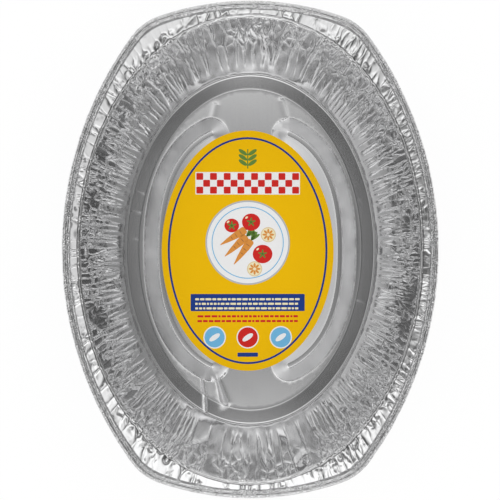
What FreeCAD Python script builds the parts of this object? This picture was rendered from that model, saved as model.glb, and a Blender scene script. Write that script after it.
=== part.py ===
"""Oval foil roasting pan pressed from one sheet of foil, with a printed card lying in it.

Millimetres, +Z up. The origin is the middle of the base, on the surface that the pan stands on.
Length runs along Y and width along X.

The pan is one thin closed skin. Its section is drawn as rows of points that run round the pan, each row
once on the under side of the foil and once on the upper side. Neighbouring rows are joined by flat
facets, so the pleats of the wall and the crimps of the flange are real folds of the sheet.
"""
import FreeCAD, Part
import math
import os
import random
from dataclasses import dataclass
from types import SimpleNamespace

import Sketcher
from FreeCAD import Placement, Rotation, Vector

SIZES = (
    ("overall_length", 370.0, "over the rolled rim, along Y"),
    ("overall_width", 280.4, "over the rolled rim, along X"),
    ("overall_height", 70.0, "base to the top of the rolled rim"),
    ("foil", 0.15, "thickness of the sheet"),
    ("side_radius", 268.5, "arc of the rim along each side"),
    ("end_radius", 207.7, "arc of the rim round each end"),
    ("corner_radius", 44.5, "arc of the rim at each of the four corners"),
    ("bead_diameter", 4.2, "rolled edge, over the foil"),
    ("lip_run", 1.0, "how far the upright lip leans out"),
    ("lip_rise", 4.3, "flange up to the top of the rolled edge"),
    ("flange_side", 7.7, "flat flange at the sides"),
    ("flange_end", 6.1, "flat flange at the ends"),
    ("wall_run_side", 19.1, "how far the wall leans out at the sides"),
    ("wall_run_end", 21.6, "how far the wall leans out at the ends"),
    ("foot_run", 9.6, "sloping foot of the wall, measured level"),
    ("foot_rise", 9.0, "sloping foot of the wall, measured upright"),
    ("foot_blend", 3.0, "softened edge where the foot leaves the base"),
    ("plain_band", 5.5, "unpleated strip of wall above the foot"),
    ("pleat_fade", 7.0, "height over which the pleats grow from the plain band"),
    ("crumple_drop", 19.0, "crumpled strip of wall below the flange"),
    ("pleat_pitch", 4.7, "mean spacing of the pleats along the wall"),
    ("pleat_depth", 1.1, "ridge to valley"),
    ("crimp_depth", 0.8, "ridge to valley of the crimps in the flange"),
    ("rib_rise", 5.0, "height of the two base ribs"),
    ("rib_crest", 3.4, "flat top of a rib"),
    ("rib_slope", 14.0, "width of each sloping side of a rib"),
    ("rib_margin", 2.8, "flat base between a rib and the foot, at the sides"),
    ("rib_end_margin", 31.5, "from the end of the base to where the rib curve would close"),
    ("rib_tip_drop", 6.5, "how far short of that point the rib stops"),
    ("card_length", 210.8, "printed card, along Y"),
    ("card_width", 150.8, "printed card, along X"),
    ("card_thickness", 0.35, "printed card"),
    ("card_shift_x", -2.2, "card off the middle of the pan"),
    ("card_shift_y", -1.0, "card off the middle of the pan"),
    ("card_clearance", 0.1, "between the card and the ribs"),
)

# Shape of the ribs in plan: 2 is a plain ellipse, more is squarer.
RIB_SQUARENESS = 2.4

# How finely round forms are divided: per quarter of the rim (side, corner, end), round the rolled edge,
# along half a rib and round its end.
SMOOTH_STEPS = (11, 4, 5)
QUARTERS = 4
BEAD_STEPS = 8
RIB_STEPS = 16
CAP_STEPS = 6

# Unevenness of the folds, as shares of their spacing, depth, strip of wall or width of flange.
FOLD_WANDER_SHARE = 0.35
PLEAT_SHARES = (0.5, 1.2)
CRIMP_SHARES = (0.3, 1.0)
CRIMP_PLACE_SHARES = (0.35, 0.65)
FIRST_FOLD_SHARE = 0.7
FIRST_FOLD_LIFT_SHARE = 0.1
CRUMPLE_FOLD_SHARE = 1.0
CRUMPLE_LIFT_SHARE = 0.32
SHOULDER_FOLD_SHARE = 0.9
CORNER_CRIMP_SHARE = 0.6


def make_sheet(doc):
    """Put every driving size in the document's sheet, one named cell each."""
    sheet = doc.addObject("Spreadsheet::Sheet", "sizes")
    for line, (name, value, note) in enumerate(SIZES, start=1):
        sheet.set(f"A{line}", name)
        sheet.set(f"B{line}", str(value))
        sheet.set(f"C{line}", note)
        sheet.setAlias(f"B{line}", name)
    doc.recompute()
    return sheet


def read_sizes(sheet):
    """The sizes as plain numbers, with the places that follow from them."""
    pan = SimpleNamespace(**{name: float(sheet.get(name)) for name, _value, _note in SIZES})
    pan.rim_half_width = pan.overall_width / 2
    pan.rim_half_length = pan.overall_length / 2
    pan.lip_inset = pan.bead_diameter + pan.lip_run
    pan.flange_height = pan.overall_height - pan.lip_rise
    pan.wall_rise = pan.flange_height - pan.foot_rise
    pan.crease_half_width = pan.rim_half_width - pan.lip_inset - pan.flange_side - pan.wall_run_side
    pan.crease_half_length = pan.rim_half_length - pan.lip_inset - pan.flange_end - pan.wall_run_end
    pan.base_inset = pan.foot_run + pan.foot_blend / 2
    pan.base_half_width = pan.crease_half_width - pan.base_inset
    pan.base_half_length = pan.crease_half_length - pan.base_inset
    pan.rib_half_width = pan.base_half_width - pan.rib_margin - pan.rib_slope
    pan.rib_half_length = pan.base_half_length - pan.rib_end_margin
    return pan


class RimOutline:
    """Outer edge of the rim: in each quarter a side arc, a corner arc and an end arc, all tangent."""

    def __init__(self, pan):
        side_centre = Vector(pan.rim_half_width - pan.side_radius, 0, 0)
        end_centre = Vector(0, pan.rim_half_length - pan.end_radius, 0)
        corner_centre = self.meeting_point(
            side_centre,
            pan.side_radius - pan.corner_radius,
            end_centre,
            pan.end_radius - pan.corner_radius,
        )
        to_corner = corner_centre - side_centre
        from_end = corner_centre - end_centre
        side_stop = math.atan2(to_corner.y, to_corner.x)
        end_start = math.atan2(from_end.y, from_end.x)
        self.arcs = (
            (side_centre, pan.side_radius, 0.0, side_stop),
            (corner_centre, pan.corner_radius, side_stop, end_start),
            (end_centre, pan.end_radius, end_start, math.pi / 2),
        )

    @staticmethod
    def meeting_point(centre_a, radius_a, centre_b, radius_b):
        """Where two circles cross, on the side away from the origin."""
        apart = (centre_b - centre_a).Length
        along = (apart**2 + radius_a**2 - radius_b**2) / (2 * apart)
        across = math.sqrt(radius_a**2 - along**2)
        forward = (centre_b - centre_a).normalize()
        sideways = Vector(forward.y, -forward.x, 0)
        foot = centre_a + forward * along
        return max((foot + sideways * across, foot - sideways * across), key=lambda point: point.x + point.y)

    def point(self, bearing, inset=0.0):
        """Point on the outline moved in by inset, where the outline faces the given bearing."""
        across, along = math.cos(bearing), math.sin(bearing)
        folded = math.atan2(abs(along), abs(across))
        for centre, radius, _start, stop in self.arcs:
            if folded <= stop + 1e-9:
                break
        reach = radius - inset
        return Vector(
            math.copysign(centre.x + reach * abs(across), across),
            math.copysign(centre.y + reach * abs(along), along),
            0,
        )

    def toward(self, turn, inset):
        """Point on the inset outline that lies in the given direction from the middle of the pan."""
        ray = Vector(abs(math.cos(turn)), abs(math.sin(turn)), 0)
        for centre, radius, _start, stop in self.arcs:
            reach = radius - inset
            middle = ray.dot(centre)
            distance = middle + math.sqrt(max(middle**2 - centre.dot(centre) + reach**2, 0.0))
            found = ray * distance
            facing = found - centre
            if math.atan2(facing.y, facing.x) <= stop + 1e-9:
                break
        return Vector(math.copysign(found.x, math.cos(turn)), math.copysign(found.y, math.sin(turn)), 0)

    def bearings(self):
        """Bearings of the smooth rows, spread so that every chord leaves its arc by about as little."""
        quarter = []
        for (_centre, _radius, start, stop), parts in zip(self.arcs, SMOOTH_STEPS):
            quarter += [start + (stop - start) * step / parts for step in range(parts)]
        mirrored = [math.pi - bearing for bearing in reversed(quarter[1:] + [math.pi / 2])]
        half = quarter + mirrored
        return half + [math.pi + bearing for bearing in half]


@dataclass
class Row:
    """One closed row of points round the pan, on the under and the upper side of the foil."""

    under: list
    upper: list
    places: list

    def turns(self):
        """Direction of each point from the middle of the pan, rising from zero to a full turn."""
        return [math.atan2(point.y, point.x) % math.tau for point in self.under]


def mitre(before, here, after, foil):
    """Level and upright step from the under side to the upper side at one corner of the section."""
    normals = []
    for start, stop in ((before, here), (here, after)):
        run, rise = stop[0] - start[0], stop[1] - start[1]
        length = math.hypot(run, rise)
        normals.append((-rise / length, run / length))
    (first_x, first_z), (second_x, second_z) = normals
    share = foil / (1 + first_x * second_x + first_z * second_z)
    return (first_x + second_x) * share, (first_z + second_z) * share


def ellipse_point(half_width, half_length, place):
    return Vector(half_width * math.cos(place), half_length * math.sin(place), 0)


def ellipse_facing(half_width, half_length, place):
    """Level direction that points straight out of an ellipse."""
    return Vector(half_length * math.cos(place), half_width * math.sin(place), 0).normalize()


class PanRows:
    """The rows of the pan, from the edge of the flat base up to the tucked end of the rolled rim."""

    def __init__(self, pan):
        self.pan = pan
        self.rim = RimOutline(pan)
        around = QUARTERS * sum(SMOOTH_STEPS)
        self.smooth_places = [math.tau * step / around for step in range(around)]
        self.chance = random.Random(11)
        self.pleat_places = self.uneven_places()
        self.section = self.section_corners()

    def uneven_places(self):
        """Places of the fold lines: a ridge, a valley and so on, with uneven spacing."""
        pan = self.pan
        middle_width = pan.crease_half_width + pan.wall_run_side / 2
        middle_length = pan.crease_half_length + pan.wall_run_end / 2
        girth = math.pi * (middle_width + middle_length)
        lines = 2 * round(girth / pan.pleat_pitch)
        reach = FOLD_WANDER_SHARE
        wander = [0.0] + [self.chance.uniform(-reach, reach) for _line in range(lines - 1)]
        return [math.tau * (line + offset) / lines for line, offset in enumerate(wander)]

    def section_corners(self):
        """Corners of the section at the side of the pan, as distance from the middle and height."""
        pan = self.pan
        foot = pan.crease_half_width
        lean = pan.wall_run_side / pan.wall_rise
        corners = [(0.0, 0.0)]
        corners += [(foot - inset, height) for inset, height in self.foot_stations()]
        corners += [(foot + lean * rise, pan.foot_rise + rise) for rise in self.wall_rises()]
        lip_foot = pan.rim_half_width - pan.lip_inset
        corners.append((lip_foot - pan.flange_side / 2, pan.flange_height))
        corners.append((lip_foot, pan.flange_height))
        corners.append((pan.rim_half_width - pan.bead_diameter, self.bead_height()))
        return corners

    def foot_stations(self):
        """Inset from the crease and height: edge of the base, end of its softened edge, and the crease."""
        pan = self.pan
        half_blend = pan.foot_blend / 2
        blend_rise = pan.foot_rise * half_blend / pan.foot_run
        return ((pan.base_inset, 0.0), (pan.foot_run - half_blend, blend_rise), (0.0, pan.foot_rise))

    def wall_rises(self):
        """Heights of the wall rows above the crease: plain band, first folds, crumple, flange."""
        pan = self.pan
        folds = pan.plain_band + pan.pleat_fade
        return (pan.plain_band, folds, pan.wall_rise - pan.crumple_drop, pan.wall_rise)

    def bead_height(self):
        return self.pan.overall_height - self.pan.bead_diameter / 2

    def step_at(self, corner):
        """Mitre at one corner of the section."""
        before, here, after = self.section[corner - 1 : corner + 2]
        return mitre(before, here, after, self.pan.foil)

    def row_from(self, places, corner, under):
        """Row whose upper side is set off by the mitre of the given corner of the section."""
        pan = self.pan
        out, up = self.step_at(corner)
        upper = []
        for place, point in zip(places, under):
            facing = ellipse_facing(pan.crease_half_width, pan.crease_half_length, place)
            upper.append(point + facing * out + Vector(0, 0, up))
        return Row(under, upper, places)

    def crease_offset(self, place, out, height):
        """Point of the crease where the wall leaves its foot, moved straight out and up."""
        pan = self.pan
        start = ellipse_point(pan.crease_half_width, pan.crease_half_length, place)
        facing = ellipse_facing(pan.crease_half_width, pan.crease_half_length, place)
        return start + facing * out + Vector(0, 0, height)

    def wall_point(self, place, rise, push=0.0):
        """Point on the wall, pushed out of its plain surface by push."""
        pan = self.pan
        run = pan.wall_run_side * math.cos(place) ** 2 + pan.wall_run_end * math.sin(place) ** 2
        slant = math.hypot(run, pan.wall_rise)
        out = run * rise / pan.wall_rise + push * pan.wall_rise / slant
        return self.crease_offset(place, out, pan.foot_rise + rise - push * run / slant)

    def base_rows(self):
        """Edge of the flat base, softened edge of the foot, crease, and top of the plain band."""
        rows = []
        for corner, (inset, height) in enumerate(self.foot_stations(), start=1):
            under = [self.crease_offset(place, -inset, height) for place in self.smooth_places]
            rows.append(self.row_from(self.smooth_places, corner, under))
        under = [self.wall_point(place, self.pan.plain_band) for place in self.smooth_places]
        rows.append(self.row_from(self.smooth_places, len(rows) + 1, under))
        return rows

    def fold_sign(self, line):
        return 1 if line % 2 else -1

    def pleat_rows(self):
        """Rows of the pleated wall: first folds, foot of the crumpled strip, shoulder of the flange."""
        pan = self.pan
        _band, folds, crumple, shoulder = self.wall_rises()
        settings = (
            (folds, FIRST_FOLD_SHARE, FIRST_FOLD_LIFT_SHARE),
            (crumple, CRUMPLE_FOLD_SHARE, CRUMPLE_LIFT_SHARE),
            (shoulder, SHOULDER_FOLD_SHARE, 0.0),
        )
        band_corner = len(self.foot_stations()) + 1
        rows = []
        for corner, (rise, strength, wander) in enumerate(settings, start=band_corner + 1):
            under = []
            for line, place in enumerate(self.pleat_places):
                depth = pan.pleat_depth * strength * self.chance.uniform(*PLEAT_SHARES) / 2
                lift = pan.crumple_drop * self.chance.uniform(-wander, wander)
                under.append(self.wall_point(place, rise + lift, self.fold_sign(line) * depth))
            rows.append(self.row_from(self.pleat_places, corner, under))
        return rows

    def flange_row(self, shoulder):
        """Crimped middle of the flange, deeper where the flange widens at the four corners."""
        pan = self.pan
        under = []
        for line, (start, turn) in enumerate(zip(shoulder.under, shoulder.turns())):
            stop = self.rim.toward(turn, pan.lip_inset)
            level = Vector(start.x, start.y, 0)
            width = (stop - level).Length
            widening = max(width / pan.flange_side - 1, 0)
            deepest = pan.crimp_depth * (1 + CORNER_CRIMP_SHARE * widening)
            depth = deepest * self.chance.uniform(*CRIMP_SHARES) / 2
            middle = level + (stop - level) * self.chance.uniform(*CRIMP_PLACE_SHARES)
            under.append(middle + Vector(0, 0, pan.flange_height + self.fold_sign(line) * depth))
        upper = [point + Vector(0, 0, pan.foil) for point in under]
        return Row(under, upper, shoulder.places)

    def rim_rows(self):
        """Foot of the lip, then the rolled edge over the top, down the outside and in underneath."""
        pan = self.pan
        bearings = self.rim.bearings()
        out, up = self.step_at(len(self.section) - 2)
        rows = [self.rim_row(bearings, pan.lip_inset, pan.flange_height, out, up)]
        radius = pan.bead_diameter / 2
        inner = radius - pan.foil
        for step in range(BEAD_STEPS):
            angle = math.pi - math.tau * step / BEAD_STEPS
            out, up = math.cos(angle), math.sin(angle)
            height = self.bead_height() + inner * up
            rows.append(self.rim_row(bearings, radius - inner * out, height, pan.foil * out, pan.foil * up))
        return rows

    def rim_row(self, bearings, inset, height, out, up):
        """Row that follows the rim outline at an inset, with its upper side set off by out and up."""
        under = [self.rim.point(bearing, inset) + Vector(0, 0, height) for bearing in bearings]
        upper = [self.rim.point(bearing, inset - out) + Vector(0, 0, height + up) for bearing in bearings]
        return Row(under, upper, bearings)


def facet(*corners):
    return Part.Face(Part.makePolygon([*corners, corners[0]]))


def same_count_faces(low, high):
    """Facets between two rows whose points lie one above the other: a row of folds."""
    faces = []
    count = len(low)
    for here in range(count):
        there = (here + 1) % count
        if here % 2:
            faces.append(facet(low[here], low[there], high[here]))
            faces.append(facet(low[there], high[there], high[here]))
        else:
            faces.append(facet(low[here], low[there], high[there]))
            faces.append(facet(low[here], high[there], high[here]))
    return faces


def parallel_faces(low, high):
    """Flat four-sided facets between two rows that follow the same arcs."""
    faces = []
    for here in range(len(low)):
        there = (here + 1) % len(low)
        faces.append(facet(low[here], low[there], high[there], high[here]))
    return faces


def meshed_faces(low, low_turns, high, high_turns):
    """Facets between rows with different counts: each step takes the row whose next point comes first."""
    faces = []
    low_step = high_step = 0
    low_next = [*low_turns[1:], math.tau]
    high_next = [*high_turns[1:], math.tau]
    while low_step < len(low) or high_step < len(high):
        low_here, high_here = low[low_step % len(low)], high[high_step % len(high)]
        low_left, high_left = low_step < len(low), high_step < len(high)
        if not high_left or (low_left and low_next[low_step] <= high_next[high_step]):
            faces.append(facet(low_here, low[(low_step + 1) % len(low)], high_here))
            low_step += 1
        else:
            faces.append(facet(low_here, high[(high_step + 1) % len(high)], high_here))
            high_step += 1
    return faces


class BaseRib:
    """Long curved rib raised from the base: a flat crest, two sloping sides and rounded ends."""

    def __init__(self, pan, side):
        self.pan = pan
        self.side = side

    def crest_line(self, step):
        """Place and outward direction on the rib's outer crest edge, a squared ellipse cut short."""
        pan = self.pan
        tip = pan.rib_half_length - pan.rib_tip_drop
        reach = math.asin((tip / pan.rib_half_length) ** (RIB_SQUARENESS / 2))
        angle = reach * step / RIB_STEPS
        power = 2 / RIB_SQUARENESS
        across = pan.rib_half_width * math.cos(angle) ** power
        along = math.copysign(pan.rib_half_length * abs(math.sin(angle)) ** power, angle)
        lean_x = (across / pan.rib_half_width) ** (RIB_SQUARENESS - 1) / pan.rib_half_width
        lean_y = (abs(along) / pan.rib_half_length) ** (RIB_SQUARENESS - 1) / pan.rib_half_length
        facing = Vector(lean_x, math.copysign(lean_y, angle), 0).normalize()
        return Vector(across, along, 0), facing

    def loop(self, spread, height):
        """Closed outline of the crest moved out by spread on every side, at the given height."""
        half = self.pan.rib_crest / 2
        spine = [self.crest_line(step) for step in range(-RIB_STEPS, RIB_STEPS + 1)]
        middle = [(point - facing * half, facing) for point, facing in spine]
        outer = [centre + facing * (half + spread) for centre, facing in middle]
        inner = [centre - facing * (half + spread) for centre, facing in reversed(middle)]
        far_cap = self.cap(*middle[-1], half + spread, 0.0)
        near_cap = self.cap(*middle[0], half + spread, math.pi)
        points = outer + far_cap + inner + near_cap
        return [Vector(self.side * point.x, point.y, height) for point in points]

    @staticmethod
    def cap(centre, facing, radius, first):
        """Points of the half round that closes one end of the rib, without its first and last."""
        turn = math.atan2(facing.y, facing.x) + first
        angles = [turn + math.pi * step / CAP_STEPS for step in range(1, CAP_STEPS)]
        return [centre + Vector(math.cos(angle), math.sin(angle), 0) * radius for angle in angles]

    def outlines(self, layer):
        """Foot and crest of the rib, on the under side (layer 0) or the upper side (layer 1)."""
        pan = self.pan
        tilt = math.atan2(pan.rib_rise, pan.rib_slope)
        lift = pan.foil * layer
        shift = lift * math.tan(tilt / 2)
        return self.loop(pan.rib_slope + shift, lift), self.loop(shift, pan.rib_rise + lift)

    def faces(self, layer):
        foot, crest = self.outlines(layer)
        return same_count_faces(foot, crest) + [facet(*crest)]


def base_face(edge, ribs, layer):
    """Flat base inside the given edge, open where the ribs rise out of it."""
    wires = [Part.makePolygon([*edge, edge[0]])]
    for rib in ribs:
        foot, _crest = rib.outlines(layer)
        wires.append(Part.makePolygon([*foot, foot[0]]))
    return Part.Face(wires, "Part::FaceMakerBullseye")


def foil_shape(pan):
    """The whole pressed sheet as one closed solid."""
    rows = PanRows(pan)
    base = rows.base_rows()
    pleats = rows.pleat_rows()
    flange = rows.flange_row(pleats[-1])
    rim = rows.rim_rows()
    ribs = [BaseRib(pan, side) for side in (1, -1)]
    faces = []
    for layer, side in enumerate(("under", "upper")):
        points = {id(row): getattr(row, side) for row in [*base, *pleats, flange, *rim]}
        faces.append(base_face(points[id(base[0])], ribs, layer))
        for rib in ribs:
            faces += rib.faces(layer)
        for low, high in zip(base, base[1:]):
            faces += same_count_faces(points[id(low)], points[id(high)])
        band, folds = base[-1], pleats[0]
        faces += meshed_faces(points[id(band)], band.places, points[id(folds)], folds.places)
        folded = [*pleats, flange]
        for low, high in zip(folded, folded[1:]):
            faces += same_count_faces(points[id(low)], points[id(high)])
        faces += meshed_faces(points[id(flange)], flange.turns(), points[id(rim[0])], rim[0].turns())
        for low, high in zip(rim, rim[1:]):
            faces += parallel_faces(points[id(low)], points[id(high)])
    faces += parallel_faces(rim[-1].under, rim[-1].upper)
    shell = Part.makeCompound(faces)
    shell.sewShape()
    solid = Part.Solid(shell)
    if solid.Volume < 0:
        solid.reverse()
    return solid


def make_foil_pan(doc, pan):
    """The pan: its folds are worked out from the sizes, so its shape is set directly."""
    body = doc.addObject("Part::Feature", "foil_pan")
    body.Label = "foil_pan"
    body.Shape = foil_shape(pan)
    body.Placement = Placement(Vector(0, 0, 0), Rotation())
    return body


def origin_plane(body, role):
    return next(plane for plane in body.Origin.OriginFeatures if plane.Role == role)


def card_placement(pan):
    """The card bridges the ribs: one side lies on a crest, the other a little way down a slope."""
    rib_top = pan.rib_rise + pan.foil
    crest_inner = pan.rib_half_width - pan.rib_crest
    fall = pan.rib_rise / pan.rib_slope
    right_edge = pan.card_shift_x + pan.card_width / 2
    left_edge = pan.card_shift_x - pan.card_width / 2
    right_height = rib_top - fall * max(crest_inner - right_edge, 0)
    left_height = rib_top - fall * max(crest_inner + left_edge, 0)
    left_rest = max(left_edge, -crest_inner)
    right_rest = min(right_edge, crest_inner)
    tilt = math.atan2(right_height - left_height, right_rest - left_rest)
    middle = left_height + (pan.card_shift_x - left_rest) * math.tan(tilt) + pan.card_clearance
    turn = Rotation(Vector(0, 1, 0), -math.degrees(tilt))
    return Placement(Vector(pan.card_shift_x, pan.card_shift_y, middle), turn)


def make_card(doc, pan):
    """Oval card that names the goods, cut from one thickness of board."""
    body = doc.addObject("PartDesign::Body", "card_label")
    body.Label = "card_label"
    outline = body.newObject("Sketcher::SketchObject", "card_outline")
    outline.AttachmentSupport = [(origin_plane(body, "XY_Plane"), "")]
    outline.MapMode = "FlatFace"
    half_length, half_width = pan.card_length / 2, pan.card_width / 2
    top, side = Vector(0, half_length, 0), Vector(half_width, 0, 0)
    oval = outline.addGeometry(Part.Ellipse(top, side, Vector(0, 0, 0)), False)
    outline.exposeInternalGeometry(oval)
    long_axis, short_axis = oval + 1, oval + 2
    origin_point = (-1, 1)
    outline.addConstraint(Sketcher.Constraint("Coincident", oval, 3, *origin_point))
    outline.addConstraint(Sketcher.Constraint("Vertical", long_axis))
    for name, axis, cell in (("length", long_axis, "card_length"), ("width", short_axis, "card_width")):
        number = outline.addConstraint(Sketcher.Constraint("Distance", axis, getattr(pan, cell)))
        outline.renameConstraint(number, name)
        outline.setExpression(f"Constraints.{name}", f"sizes.{cell}")
    pad = body.newObject("PartDesign::Pad", "card_board")
    pad.Profile = outline
    pad.setExpression("Length", "sizes.card_thickness")
    body.Placement = card_placement(pan)
    return body


def check_document(doc, bodies):
    """Stop before anything is written if a step failed or a shape is not sound."""
    for item in doc.Objects:
        if "Invalid" in item.State or "Error" in item.State:
            raise RuntimeError(f"{item.Name} failed: {item.State}")
    for body in bodies:
        if body.Shape.isNull() or not body.Shape.isValid() or len(body.Shape.Solids) != 1:
            raise RuntimeError(f"{body.Label} is not one sound solid")


def main():
    doc = FreeCAD.newDocument("foil_roasting_pan")
    sheet = make_sheet(doc)
    pan = read_sizes(sheet)
    bodies = [make_foil_pan(doc, pan), make_card(doc, pan)]
    doc.recompute()
    check_document(doc, bodies)
    os.makedirs("parts", exist_ok=True)
    for body in bodies:
        body.Shape.exportStep(os.path.join("parts", f"{body.Label}.step"))
        box = body.Shape.BoundBox
        print(body.Label, round(body.Shape.Volume, 1), len(body.Shape.Faces), box)


main()
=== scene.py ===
"""Oval foil roasting pan with a printed card in it, dressed for a picture from straight above.

Everything is in metres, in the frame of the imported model: the pan stands on z = 0, its length runs along
Y and its width along X. The foil is rebuilt as four fine skins, base, wall, flange and rolled rim, which
together stand for the one pressed sheet. The card keeps its solid and gets its print on top.
"""

import logging
import math
import random
from dataclasses import dataclass, field
from enum import Enum
from typing import Iterable, Sequence

import bmesh
import bpy
import numpy as np
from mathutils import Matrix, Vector
from mathutils.geometry import delaunay_2d_cdt

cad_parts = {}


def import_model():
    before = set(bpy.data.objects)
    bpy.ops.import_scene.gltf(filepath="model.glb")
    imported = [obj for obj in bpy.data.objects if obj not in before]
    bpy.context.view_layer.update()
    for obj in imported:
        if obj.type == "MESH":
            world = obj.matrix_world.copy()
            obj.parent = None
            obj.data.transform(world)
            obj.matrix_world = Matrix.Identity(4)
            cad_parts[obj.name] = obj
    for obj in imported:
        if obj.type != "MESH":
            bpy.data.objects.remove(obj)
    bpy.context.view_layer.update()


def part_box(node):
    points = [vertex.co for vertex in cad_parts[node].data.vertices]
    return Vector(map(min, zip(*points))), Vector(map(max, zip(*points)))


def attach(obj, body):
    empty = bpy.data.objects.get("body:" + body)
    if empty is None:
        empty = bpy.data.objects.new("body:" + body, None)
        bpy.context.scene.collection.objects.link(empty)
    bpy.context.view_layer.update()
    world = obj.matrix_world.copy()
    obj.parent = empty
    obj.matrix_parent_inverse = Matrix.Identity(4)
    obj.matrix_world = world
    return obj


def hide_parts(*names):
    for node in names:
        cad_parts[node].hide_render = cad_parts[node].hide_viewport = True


MM = 0.001
TAU = math.tau
PHOTO_SIDE_PX = 500
UP = Vector((0, 0, 1))
# Half width and half length of the flat base, inside the foot of the wall.
FLAT_BASE = (97.1 * MM, 141.0 * MM)
# Way up the wall from the crease at which the shoulder is reached; the flange goes on from there.
SHOULDER_CLIMB = 60.0 * MM
# Place on the card or the base, across and along.
Spot = tuple[float, float]

log = logging.getLogger("foil_pan")


class Wire:
    """One value in a node tree; arithmetic on it adds Math nodes."""

    def __init__(self, graph: "Graph", socket: bpy.types.NodeSocket) -> None:
        """Keep the socket and the graph that it belongs to."""
        self.graph = graph
        self.socket = socket

    def math(self, operation: str, *values: object) -> "Wire":
        """Add a Math node.

        Args:
            operation: name of the Math operation.
            values: its inputs, wires or numbers.

        Returns:
            The node's result.
        """
        return self.graph.out("ShaderNodeMath", {"operation": operation}, dict(enumerate(values)))

    def __add__(self, other: object) -> "Wire":
        """Sum."""
        return self.math("ADD", self, other)

    def __radd__(self, other: object) -> "Wire":
        """Sum with a number on the left."""
        return self.math("ADD", other, self)

    def __sub__(self, other: object) -> "Wire":
        """Difference."""
        return self.math("SUBTRACT", self, other)

    def __rsub__(self, other: object) -> "Wire":
        """Difference with a number on the left."""
        return self.math("SUBTRACT", other, self)

    def __mul__(self, other: object) -> "Wire":
        """Product."""
        return self.math("MULTIPLY", self, other)

    def __rmul__(self, other: object) -> "Wire":
        """Product with a number on the left."""
        return self.math("MULTIPLY", other, self)

    def __truediv__(self, other: object) -> "Wire":
        """Quotient."""
        return self.math("DIVIDE", self, other)

    def most(self, other: object) -> "Wire":
        """The larger of two values."""
        return self.math("MAXIMUM", self, other)

    def apart(self, other: object) -> "Wire":
        """Distance between two values."""
        return self.math("ABSOLUTE", self - other)

    def ramp(self, low: object, high: object, start: object = 0.0, stop: object = 1.0) -> "Wire":
        """Smooth step between two limits.

        Args:
            low: value at which the step starts.
            high: value at which the step ends.
            start: result below the step.
            stop: result above the step.

        Returns:
            The stepped value.
        """
        settings = {"interpolation_type": "SMOOTHSTEP"}
        sockets = {"Value": self, "From Min": low, "From Max": high, "To Min": start, "To Max": stop}
        return self.graph.out("ShaderNodeMapRange", settings, sockets)


@dataclass
class Graph:
    """A node tree with one way to add any node."""

    tree: bpy.types.NodeTree

    def node(self, kind: str, settings: dict[str, object], sockets: dict[object, object]) -> bpy.types.Node:
        """Add a node.

        Args:
            kind: node type.
            settings: properties set first; "stops" holds the stops of a ramp as position and level.
            sockets: inputs by name or number, each a wire, a socket or a plain value.

        Returns:
            The new node.
        """
        made = self.tree.nodes.new(kind)
        for name, value in settings.items():
            if name == "stops":
                self._set_stops(made.color_ramp, value)
            else:
                setattr(made, name, value)
        for key, value in sockets.items():
            target = made.inputs[key]
            if isinstance(value, Wire):
                self.tree.links.new(value.socket, target)
            elif isinstance(value, bpy.types.NodeSocket):
                self.tree.links.new(value, target)
            else:
                target.default_value = value
        return made

    def out(
        self, kind: str, settings: dict[str, object], sockets: dict[object, object], result: object = 0
    ) -> Wire:
        """Add a node and take one of its outputs.

        Args:
            kind: node type.
            settings: properties set first.
            sockets: inputs by name or number.
            result: output by name or number.

        Returns:
            The output as a wire.
        """
        return Wire(self, self.node(kind, settings, sockets).outputs[result])

    @staticmethod
    def _set_stops(ramp: bpy.types.ColorRamp, stops: Sequence[tuple[float, float]]) -> None:
        """Give a ramp its grey stops.

        Args:
            ramp: a colour ramp's stops.
            stops: position and level of each, from 0 to 1.
        """
        while len(ramp.elements) < len(stops):
            ramp.elements.new(1.0)
        for element, (position, level) in zip(ramp.elements, stops):
            element.position = position
            element.color = (level, level, level, 1.0)

    def axes(self, vector: Wire) -> tuple[Wire, Wire, Wire]:
        """Split a vector into its three parts."""
        parts = self.node("ShaderNodeSeparateXYZ", {}, {0: vector}).outputs
        return Wire(self, parts[0]), Wire(self, parts[1]), Wire(self, parts[2])

    def vector(self, across: object, along: object, up: object) -> Wire:
        """Join three values into a vector."""
        return self.out("ShaderNodeCombineXYZ", {}, {0: across, 1: along, 2: up})

    def scaled(self, vector: object, by: object) -> Wire:
        """Vector times a value."""
        return self.out("ShaderNodeVectorMath", {"operation": "SCALE"}, {0: vector, "Scale": by})

    def joined(self, operation: str, first: object, second: object) -> Wire:
        """Two vectors joined by a Vector Math operation."""
        return self.out("ShaderNodeVectorMath", {"operation": operation}, {0: first, 1: second})

    def noise(self, place: Wire, scale: float, detail: float = 2.0, result: object = 0) -> Wire:
        """Soft noise at a place, from 0 to 1."""
        sockets = {"Vector": place, "Scale": scale, "Detail": detail, "Roughness": 0.55}
        return self.out("ShaderNodeTexNoise", {}, sockets, result)

    def cell_edge(self, place: Wire) -> Wire:
        """Distance to the nearest edge between cells one unit wide."""
        settings = {"voronoi_dimensions": "3D", "feature": "DISTANCE_TO_EDGE"}
        sockets = {"Vector": place, "Scale": 1.0, "Randomness": 1.0}
        return self.out("ShaderNodeTexVoronoi", settings, sockets)


def blank_material(name: str) -> tuple[bpy.types.Material, Graph]:
    """New material with an empty node tree, and its graph."""
    made = bpy.data.materials.new(name)
    made.use_nodes = True
    made.node_tree.nodes.clear()
    return made, Graph(made.node_tree)


def linked(name: str, data: bpy.types.ID) -> bpy.types.Object:
    """New object at the origin, linked to the scene."""
    made = bpy.data.objects.new(name, data)
    bpy.context.scene.collection.objects.link(made)
    return made


@dataclass(frozen=True)
class Crests:
    """Half widths of the ridges, as shares of a cell."""

    pleat: float
    crumple: float
    crimp: float


MESH_CRESTS = Crests(pleat=0.21, crumple=0.17, crimp=0.36)
BUMP_CRESTS = Crests(pleat=0.15, crumple=0.11, crimp=0.18)


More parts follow.
